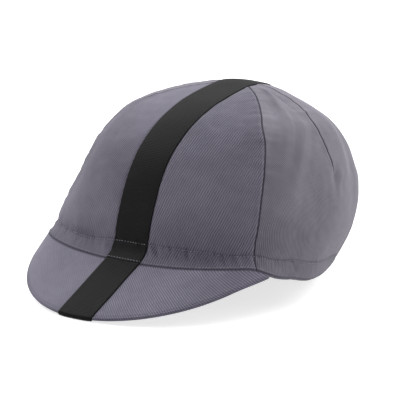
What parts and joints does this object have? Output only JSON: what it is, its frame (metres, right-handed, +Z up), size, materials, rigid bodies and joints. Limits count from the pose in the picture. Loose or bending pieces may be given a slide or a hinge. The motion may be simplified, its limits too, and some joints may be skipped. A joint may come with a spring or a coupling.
{
  "type": "soft cloth cap with a short brim",
  "caption": "Soft twill cap with a domed panelled crown, a turned-up hem, a short curved drooping brim and a dark tape running from front to back.",
  "frame": {"origin": "middle of the footprint on the surface that the cap rests on", "axes": "+X to the wearer's left, -Y to the front, +Z up"},
  "size_m": [0.1668, 0.254, 0.1244],
  "materials": {
    "panel_twill": "matte cotton twill",
    "hem_twill": "matte cotton twill, inner side",
    "brim_twill": "matte cotton twill",
    "tape_weave": "matte woven tape with a faint sheen"
  },
  "bodies": {
    "root": {"crown_front_left": "panel_twill", "crown_front_right": "panel_twill", "crown_rear_left": "panel_twill", "crown_rear_right": "panel_twill", "hem_band": "hem_twill", "crown_tape": "tape_weave", "brim": "brim_twill", "brim_tape": "tape_weave"}
  },
  "joints": []
}
